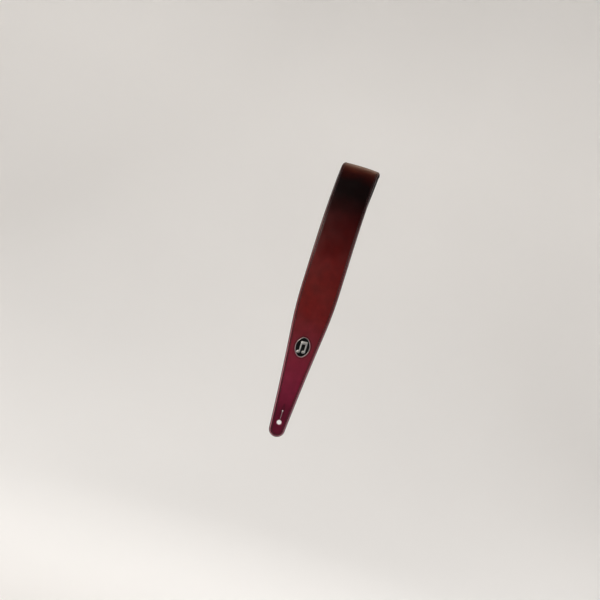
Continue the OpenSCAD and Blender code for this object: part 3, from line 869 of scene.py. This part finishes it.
# Bridle leather, dyed through and waxed: darker and duller than the strap, with a painted highlight
# on its bevel
BRIDLE = dyed_leather(
    "bridle_leather_waxed", [(0, "#2c0d0b"), (100, "#35100d")],
    [(0, "#4d2c2c"), (100, "#57312f")], 0.45,
)
SUEDE = suede()
INKED_EDGE = edge_paint()
THREAD = thread()
PEWTER = metal("pewter_cast_tumbled", "#f6f5f1", "#b4b3ae", 0.5, 0.5, 0.03)
NICKEL = metal("zinc_cast_nickel_plated", "#cfc9bd", "#8f887c", 0.2, 0.9, 0.012)
STEEL = metal("steel_turned_nickel_plated", "#c4c0b6", "#837d72", 0.28, 0.4, 0.015)
ENAMEL = enamel()


# ======== camera and light

# The strap hangs aslant in the view. VIEW_W is the width that the camera sees at the strap.
ROLL = math.radians(17.3)
ELEVATION = math.radians(5.4)
AIM_X = -29.5
AIM_Z = -257.3
LENS = 75.0
SENSOR = 36.0
VIEW_W = 1072.3


def make_camera():
    """Looks at the front and a little down, turned so that the strap hangs aslant."""
    data = bpy.data.cameras.new("camera")
    data.lens = LENS
    data.sensor_width = SENSOR
    camera = bpy.data.objects.new("camera", data)
    back = Vector((0, -math.cos(ELEVATION), math.sin(ELEVATION)))
    level = Vector((1, 0, 0))
    right = math.cos(ROLL) * level + math.sin(ROLL) * back.cross(level)
    turn = Matrix((right, back.cross(right), back)).transposed().to_4x4()
    aim = Vector((AIM_X, -FRONT_Y - STRAP_T, AIM_Z))
    spot = (aim + back * VIEW_W * LENS / SENSOR) * MM
    camera.matrix_world = Matrix.Translation(spot) @ turn
    bpy.context.scene.collection.objects.link(camera)
    bpy.context.scene.camera = camera


def soft_light(name, spot, aim, size, power, colour):
    """Softbox at a place in metres, turned to its aim and itself out of view."""
    data = bpy.data.lights.new(name, "AREA")
    data.shape = "RECTANGLE"
    data.size, data.size_y = size
    data.energy = power
    data.color = srgb(colour)[:3]
    light = bpy.data.objects.new(name, data)
    away = (Vector(spot) - Vector(aim)).normalized()
    turn = away.to_track_quat("Z", "Y").to_matrix().to_4x4()
    light.matrix_world = Matrix.Translation(Vector(spot)) @ turn
    light.visible_camera = False
    bpy.context.scene.collection.objects.link(light)


def backdrop():
    """Seamless pale paper all round: a floor that curves up into a wall."""
    material, tree, shader = finish("paper_backdrop_pale", Roughness=0.9, Specular_IOR_Level=0.2)
    spot = node(tree, "TexCoord").outputs["Object"]
    tooth = node(tree, "TexNoise", {"Vector": spot, "Scale": 0.8, "Detail": 2.0})
    colour = node(tree, "ValToRGB", {0: tooth}, [(0.3, "#eae9e7"), (0.7, "#eeedeb")])
    feed(tree, shader, {"Base Color": colour})
    floor, wall, bend, top = -1250.0, 3400.0, 1500.0, 3600.0
    side = [(0, floor), (wall - bend, floor)]
    side += [
        (wall - bend + bend * math.sin(a), floor + bend - bend * math.cos(a))
        for a in (math.pi / 2 * i / 20 for i in range(1, 21))
    ]
    bowl = lathe(side + [(wall, top)], (0, 0, 0), (0, 0, 1), 96)
    paper = solid("backdrop", material, [bowl], sharp=180)
    # Out of the leather's reflections, which would turn its dye grey
    paper.visible_glossy = False


def make_light():
    """Softboxes round the strap, with little light from elsewhere, so that its dye stays deep."""
    world = bpy.data.worlds.new("studio")
    world.use_nodes = True
    sky = world.node_tree.nodes["Background"].inputs
    sky["Color"].default_value = srgb("#d9dbe0")
    sky["Strength"].default_value = 0.06
    bpy.context.scene.world = world
    middle = (0, 0, -0.25)
    soft_light("key_softbox", (-1.7, -1.7, 0.9), middle, (1.1, 1.1), 52, "#fff6ec")
    soft_light("fill_softbox", (2.0, -1.3, 0.2), middle, (1.4, 1.4), 16, "#eef2ff")
    soft_light("sheen_softbox", (-0.95, -2.2, 0.0), middle, (0.5, 1.0), 3, "#fff2f0")
    soft_light("top_softbox", (0.0, 1.6, 1.0), (0, 0, 0), (1.0, 0.5), 2, "#ffe6cc")
    soft_light("back_left_softbox", (-1.9, 1.5, 0.6), middle, (1.1, 1.1), 22, "#ffffff")
    soft_light("back_right_softbox", (1.9, 1.5, 0.3), middle, (1.1, 1.1), 18, "#ffffff")
    soft_light("wall_softbox", (0, 0.8, 0.1), (0, 3.4, -0.4), (1.6, 1.6), 8, "#ffffff")


# ======== strap

def waves(x, s):
    """Slow waves in the top leather."""
    return 0.10 * math.sin(s / 41.0 + 0.8) * math.sin(x / 19.0 + 0.4)


def seam_groove(base):
    """Steps of the edge profile across the seam's groove."""
    return [
        (SEAM_IN - 0.75, base), (SEAM_IN - 0.45, base - 0.16), (SEAM_IN, base - 0.34),
        (SEAM_IN + 0.45, base - 0.16), (SEAM_IN + 0.8, base), (SEAM_IN + 1.6, base + 0.02),
    ]


def bevel(low, high, start):
    """Edge profile of the top leather: upright at the bottom, then a rounded bevel."""
    top = high - low
    return [
        (start, low), (start, low + 0.3 * top), (start + 0.18, low + 0.55 * top),
        (start + 0.6, low + 0.80 * top), (start + 1.15, low + 0.94 * top), (start + 1.7, high),
    ]


def hole_lip(low, high):
    """Profile of a punched hole whose rim is rounded over and pressed down."""
    steps = ((0, 0.75), (0.2, 0.45), (0.55, 0.3), (1.0, 0.2), (1.5, 0))
    return [(0, low)] + [(out, high - down) for out, down in steps]


def window_lip(low, high):
    """Profile of the medallion's window: a raised, rounded lip."""
    return [
        (0.12, low), (0.12, high - 0.05), (0.3, high + 0.2), (0.65, high + 0.3), (1.1, high + 0.24),
        (1.6, high + 0.06), (2.1, high - 0.1), (2.7, high - 0.02),
    ]


def stitches(name, route, place, base):
    """Separate stitches along a route, each a slightly slanted, tight loop of thread."""
    route = [Vector(p) for p in route]
    lengths = [0.0]
    for a, b in zip(route, route[1:]):
        lengths.append(lengths[-1] + (b - a).length)
    count = int(lengths[-1] // STITCH_PITCH)
    pitch = lengths[-1] / count

    def at(d):
        i = min(max(int(np.searchsorted(lengths, d)) - 1, 0), len(route) - 2)
        u = (d - lengths[i]) / (lengths[i + 1] - lengths[i])
        return route[i].lerp(route[i + 1], u), (route[i + 1] - route[i]).normalized()

    profile = ((0.0, -0.5, 0.5), (0.1, -0.1, 0.85), (0.3, 0.16, 1.0), (0.5, 0.22, 1.0),
               (0.7, 0.16, 1.0), (0.9, -0.1, 0.85), (1.0, -0.5, 0.5))
    parts = []
    for n in range(count):
        middle = (n + 0.5) * pitch
        points = []
        for u, h, _ in profile:
            p, along = at(middle + (u - 0.5) * STITCH_LEN)
            slant = 0.16 * (u - 0.5)
            points.append(place(p.x - along.y * slant, p.y + along.x * slant, base + h) / MM)
        p, _ = at(middle)
        out = (place(p.x, p.y, base + 1) - place(p.x, p.y, base)).normalized()
        parts.append(tube(points, [STITCH_R * w for _, _, w in profile], sides=7, up=out))
    return solid(name, THREAD, parts, sharp=60)


def strap_half(drop, outline, front):
    """Outer leather, core, lining and seam of one half of the strap, front or back."""
    word = "front" if front else "back"
    holes, core_holes, lining_holes = [], [], []
    if front:
        slits = (SLIT_HALF, SLIT_HALF_CORE, SLIT_HALF_LINING)
        hole, inner, under = (keyhole(S_TIP - BUTTON_AT, -1, slit) for slit in slits)
        window = oval(S_TIP - BADGE_AT, *(size + WINDOW_GAP for size in BADGE_SIZES))
        holes = [
            (hole, hole_lip(CORE_TOP, STRAP_T), rim_tone),
            (window, window_lip(CORE_TOP, STRAP_T), window_tone),
        ]
        core_holes = [(inner, [(0, LINING_T), (0, CORE_TOP)], plain)]
        lining_holes = [(under, [(0.3, 0), (0, 0.3), (0, LINING_T)], plain)]
    leather = sheet(
        f"outer_leather_{word}_skin", LEATHER_FRONT if front else LEATHER_BACK, drop.place, outline,
        bevel(CORE_TOP, STRAP_T, 1.2) + seam_groove(STRAP_T), holes, is_open=True,
        shape=waves if front else None,
    )
    core = sheet(
        f"core_ply_{word}_inked", INKED_EDGE, drop.place, outline,
        [(0.25, LINING_T), (0, LINING_T + 0.2), (0, CORE_TOP - 0.25), (0.3, CORE_TOP)],
        core_holes, is_open=True, grid=(8, 8),
    )
    lining = sheet(
        f"lining_{word}_suede", SUEDE, drop.place, outline,
        [(0.5, 0), (0.12, 0.15), (0.05, 0.5), (0.25, LINING_T)],
        lining_holes, is_open=True, grid=(8, 5),
    )
    route = outline(SEAM_IN)
    routes = {"seam_front": route}
    if not front:
        route = [p for p in route if p[1] < BACK.s_at(BAR_Z + CHAPE_LEN + 2)]
        half = len(route) // 2
        routes = {"seam_back_right": route[:half], "seam_back_left": route[half:]}
    seam = [stitches(name, points, drop.place, STRAP_T - 0.1) for name, points in routes.items()]
    names = ("outer_leather", "core_leather", "lining_suede", *["thread"] * len(seam))
    # Points on the strap to each side of the end of the arch; the plies are only baked where they
    # lie
    start, end = (drop.place(0, drop.s_run + way * BLEND_HALF, STRAP_T) for way in (-1, 1))
    for piece, name in zip((leather, core, lining, *seam), names):
        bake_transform(piece)
        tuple(start)
        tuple(end)
    return leather, core, lining, seam


def build_strap():
    leather, core, lining, seam = strap_half(FRONT, front_outline(), True)
    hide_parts("outer_leather_front", "outer_leather_shoulder")
    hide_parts("core_ply_front", "core_ply_shoulder", "front_hole_reinforcement")
    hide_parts("lining_front", "lining_shoulder")
    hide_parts("stitching_front", "stitching_shoulder")
    leather, core, lining, seam = strap_half(BACK, back_outline(), False)
    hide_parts("outer_leather_back")
    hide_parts("core_ply_back")
    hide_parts("lining_back")
    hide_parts("stitching_back")


# ======== medallion

def put(piece, body, slot, *nodes):
    """Rides a piece on a body and hides the CAD nodes that it stands for. slot names its finish but
    is not used.
    """
    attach(piece, body)
    if nodes:
        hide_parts(*nodes)


def stacked(loop, steps, place):
    """Shell through loops at (offset, height) steps, closed by flat fills at both ends."""
    rings = [[place(x, s, h) / MM for x, s in loop(off)] for off, h in steps]
    n = len(rings[0])
    verts = [v for r in rings for v in r]
    ends = [tuple(range(n)), tuple(range(len(verts) - n, len(verts)))]
    return verts, bands(len(rings), n) + ends


def raised(outline, high=FIGURE_TOP, soft=0.35):
    """A figure that stands up from the recess, with its top edges rounded by soft."""
    steps = [
        (0.12, RECESS), (0, RECESS + 0.1), (0, high - soft), (-0.3 * soft, high - 0.3 * soft),
        (-soft, high),
    ]
    return stacked(outline, steps, FRONT.place)


def polygon_loop(points):
    """Loop function for a straight-sided figure: draws its corners in towards its middle."""
    middle = sum((Vector(p) for p in points), Vector((0, 0))) / len(points)

    def loop(offset):
        out = []
        for p in points:
            d = Vector(p) - middle
            out.append(tuple(middle + d * (1 + offset / max(min(abs(d.x), abs(d.y)), 0.6))))
        return out
    return loop


def note_head(cx, cs, long, short, tilt):
    """Loop function for a tilted ellipse."""
    def loop(offset):
        a, b = long + offset, short + offset
        points = []
        for k in range(28):
            t = 2 * math.pi * k / 28
            x, y = a * math.cos(t), b * math.sin(t)
            points.append((cx + x * math.cos(tilt) - y * math.sin(tilt),
                           cs + x * math.sin(tilt) + y * math.cos(tilt)))
        return points
    return loop


def build_medallion():
    """Oval casting with a thin rim and two beamed notes, black enamel, and what holds it."""
    centre = S_TIP - BADGE_AT
    plate = oval(centre, *BADGE_SIZES, n=20)
    rim = [
        (-0.1, CORE_TOP), (0, CORE_TOP + 0.2), (0, 4.25), (-0.08, 4.42), (-0.25, 4.52),
        (-0.45, 4.52), (-0.62, 4.42), (-0.72, 4.2), (-0.78, 3.5), (-0.9, RECESS),
    ]
    # s grows downwards, so the notes are drawn with their heights turned over
    span, stem, head = 4.6, 2.5, 3.5

    def up(points):
        return [(x, centre - y) for x, y in points]

    figures = []
    for k, rise in ((-1, 0.0), (1, 1.3)):
        foot, x = rise - 9.4, k * span - 0.9
        figures.append(raised(note_head(x, centre - foot, head, head * 0.76, math.radians(-24))))
        edge = x + head - 0.3
        stem_corners = [
            (edge - stem, foot), (edge, foot), (edge, foot + 19.2), (edge - stem, foot + 18.8),
        ]
        figures.append(raised(polygon_loop(up(stem_corners)), FIGURE_TOP - 0.05))
    left, right = head - 1.2 - span - stem, span - 1.2 + head
    beam_corners = [(left, 4.9), (right, 6.3), (right, 11.6), (left, 10.2)]
    figures.append(raised(polygon_loop(up(beam_corners)), FIGURE_TOP + 0.05))
    shells = [stacked(plate, rim, FRONT.place), *figures]
    casting = solid("medallion_cast", PEWTER, shells, sharp=50)
    put(casting, "front_drop", "pewter", "medallion_casting")
    bed = oval(centre, *(size - BADGE_RIM for size in BADGE_SIZES), n=20)
    fillet = [(0, 3.3), (0.02, 3.95), (-0.25, 3.86), (-0.8, 3.82)]
    pool = solid("medallion_enamel_pool", ENAMEL, [stacked(bed, fillet, FRONT.place)], sharp=60)
    put(pool, "front_drop", "enamel", "medallion_enamel")
    washer = [(1.2, 0), (3.55, 0), (3.75, 0.12), (3.75, 0.3), (3.6, 0.42), (1.2, 0.42), (1.2, 0)]
    screw = [
        (0, 0.3), (2.55, 0.3), (2.6, 0.6), (2.35, 1.0), (1.6, 1.3), (0.9, 1.38), (0.9, 0.85),
        (0, 0.85),
    ]
    feet = [FRONT.place(0, centre + k * POST_OFF, 0) / MM for k in (-1, 1)]
    for word, profile in (("washers", washer), ("screws", screw)):
        turned = [lathe(profile, foot, (0, 1, 0)) for foot in feet]
        piece = solid(f"medallion_{word}_turned", STEEL, turned)
        put(piece, "front_drop", "nickel_steel", f"medallion_{word}")


# ======== tail and buckle

def tail_holes():
    """Eight adjusting holes and the button hole at the low end."""
    heights = [BAR_Z - HOLE_MID + k * HOLE_PITCH for k in range(-1, 7)]
    holes = [slot_hole(0, BACK.s_at(z), HOLE_HALF_W, HOLE_LEN / 2) for z in heights]
    return holes + [keyhole(BACK.s_at(BAR_Z - TAIL_DOWN + TAIL_BUTTON_AT), -1)]


def build_tail():
    """Leather, lining and seam of the tail."""
    holes = tail_holes()
    punched = [(0, TAIL_LINING_T), (0, TAIL_T - 0.45), (0.15, TAIL_T - 0.15), (0.5, TAIL_T)]
    leather = sheet(
        "tail_leather_skin", LEATHER_BACK, place_tail, tail_outline,
        bevel(TAIL_LINING_T, TAIL_T, 0.4) + seam_groove(TAIL_T),
        [(hole, punched, plain) for hole in holes],
    )
    put(leather, "back_drop", "outer_leather", "tail_outer")
    lining = sheet(
        "tail_lining_suede", SUEDE, place_tail, tail_outline,
        [(0.4, 0), (0.1, 0.15), (0.05, 0.5), (0.2, TAIL_LINING_T)],
        [(hole, [(0.2, 0), (0, 0.2), (0, TAIL_LINING_T)], plain) for hole in holes], grid=(5, 5),
    )
    put(lining, "back_drop", "lining_suede", "tail_lining")
    route = tail_outline(SEAM_IN)
    seam = stitches("tail_seam", route + route[:1], place_tail, TAIL_T - 0.1)
    put(seam, "back_drop", "thread", "tail_stitching")


def build_chape():
    """Strip folded round the heel bar, slotted for the prong, and its two rivets."""
    length = 2 * CHAPE_LEN + math.pi * (BAR_Y - BACK_Y + CHAPE_T / 2)
    slot = slot_hole(0, length / 2, 2.5, length / 2 - CHAPE_LEN + 7.5)
    fold = sheet(
        "chape_folded", BRIDLE, place_chape, chape_outline,
        [(0.1, 0), (0, 0.2), (0, 1.1), (0.2, 1.4), (0.6, CHAPE_T), (2.0, CHAPE_T),
         (2.3, CHAPE_T - 0.2), (2.6, CHAPE_T)],
        [(slot, [(0, 0), (0, 1.2), (0.2, 1.5), (0.5, CHAPE_T)], plain)], grid=(2.2, 2.2),
    )
    put(fold, "back_drop", "chape_leather", "buckle_chape")
    cap = [
        (0, -1.5), (1.4, -1.5), (1.4, 0), (3.3, 0), (3.5, 0.1), (3.35, 0.26), (2.6, 0.42),
        (1.4, 0.5), (0, 0.52),
    ]
    caps = []
    for d in RIVET_AT:
        for k in (-1, 1):
            foot = (0, BAR_Y + k * (BAR_Y - BACK_Y + CHAPE_T), BAR_Z + d)
            caps.append(lathe(cap, foot, (0, k, 0)))
    put(solid("chape_rivet_caps", STEEL, caps), "back_drop", "nickel_steel", "chape_rivets")


def keeper(name, z, face_h, body, stands_for):
    """Loop of leather with rounded corners, skived edges and a seam line."""
    in_w, low, high = TAIL_HALF + KEEPER_EASE, -KEEPER_EASE, face_h + TAIL_T + KEEPER_EASE
    mid_y, half_y = BACK_Y + (low + high) / 2, (high - low) / 2

    def loop(offset, steps=7):
        r = 0.8 + offset
        w, d = in_w + offset - r, half_y + offset - r
        out = []
        for cx, cy, a in ((w, d, 0), (-w, d, 90), (-w, -d, 180), (w, -d, 270)):
            out += arc(cx, cy, r, a, a + 90, steps)
        return out

    # Half of the band's section, from the inside round its skived edge and over its pressed line
    half = [
        (0, 0.5), (0.25, 0.12), (0.8, 0), (1.3, 0.15), (1.6, 0.6), (1.6, 1.5), (1.45, 1.8),
        (1.6, 2.1),
    ]
    section = [(out, KEEPER_W - up) for out, up in half] + [(1.63, KEEPER_W / 2)] + half[::-1]
    rings = [[(x, mid_y + y, z + up) for x, y in loop(off)] for off, up in section]
    verts = [Vector(v) * MM for r in rings for v in r]
    places = [(v.x + v.y, v.z, 0.01) for v in verts]
    piece = finish_mesh(name, verts, bands(len(rings), len(rings[0]), True), BRIDLE, places)
    put(piece, body, "chape_leather", stands_for)


def build_buckle():
    """Frame, roller and prong of the buckle, about the heel bar."""
    bar_r = 1.9
    out = Vector((0, ROLLER_Y - BAR_Y, ROLLER_Z - BAR_Z))
    down = out.normalized()
    reach = out.length
    arm = TAIL_HALF + 1.0 + bar_r
    bar = Vector((0, BAR_Y, BAR_Z))

    def corner(cx, cd, r, a0):
        return [bar + Vector((x, 0, 0)) + down * d for x, d in arc(cx, cd, r, a0, a0 + 90, 8)]

    heel, nose = 2.4, 3.5
    loop = (
        corner(arm - heel, heel, heel, -90) + corner(arm - nose, reach - nose, nose, 0)
        + corner(nose - arm, reach - nose, nose, 90) + corner(heel - arm, heel, heel, 180)
    )
    normal = Vector((1, 0, 0)).cross(down)
    shell = tube(loop, bar_r, sides=20, closed=True, up=normal)
    cast = solid("buckle_frame_cast", NICKEL, [shell], sharp=80)
    put(cast, "buckle", "buckle_metal", "buckle_frame")
    half = arm - nose - 0.2
    roll = lathe(
        [(2.05, -half), (2.6, -half), (2.9, -half + 0.15), (3.0, -half + 0.5), (3.0, half - 0.5),
         (2.9, half - 0.15), (2.6, half), (2.05, half), (2.05, -half)],
        bar + out, (1, 0, 0), 48,
    )
    put(solid("buckle_roller_turned", NICKEL, [roll]), "roller", "nickel_steel", "buckle_roller")

    rise, bend_r, prong_r = math.radians(65), 6.0, 1.55
    height = ROLLER_Y - BAR_Y + 3.0 + 1.6 + 0.1
    turn = bend_r * math.tan(rise / 2)
    foot = height / math.tan(rise)
    leg = height / math.sin(rise) - turn
    path = [(d * math.cos(rise), d * math.sin(rise)) for d in np.linspace(2.5, leg, 6)]
    path += arc(foot + turn, height - bend_r, bend_r, 90 + 65, 90, 12)[1:]
    run_to = BAR_Z - ROLLER_Z + 4
    path += [(d, height) for d in np.linspace(foot + turn, run_to, 14)[1:]]
    path += [(run_to + 1.4 * math.sin(a), height) for a in (0.5, 0.9, 1.2, 1.5)]
    widths = [1.0] * (len(path) - 4) + [0.92, 0.74, 0.5, 0.2]
    points = [(0, BAR_Y + q, BAR_Z - d) for d, q in path]
    shank = tube(points, [prong_r * w for w in widths], sides=16, flat=0.94)
    eye = lathe(
        [(2.02, -1.3), (3.3, -1.3), (3.55, -1.1), (3.6, -0.7), (3.6, 0.7), (3.55, 1.1), (3.3, 1.3),
         (2.02, 1.3), (2.02, -1.3)],
        bar, (1, 0, 0), 36,
    )
    cast = solid("buckle_prong_cast", NICKEL, [shank, eye], sharp=50)
    put(cast, "prong", "buckle_metal", "buckle_prong")


def build_back():
    """All that hangs on the back drop's end."""
    build_tail()
    build_chape()
    fixed_z = box_mm("fixed_keeper")[0][2]
    free_z = box_mm("free_keeper")[0][2]
    keeper("keeper_fixed_loop", fixed_z, TAIL_LOW_H, "back_drop", "fixed_keeper")
    keeper("keeper_free_loop", free_z, TAIL_HIGH_H, "keeper", "free_keeper")
    build_buckle()


make_camera()
backdrop()
make_light()
bpy.context.scene.view_settings.view_transform = "Standard"
build_strap()
build_medallion()
build_back()
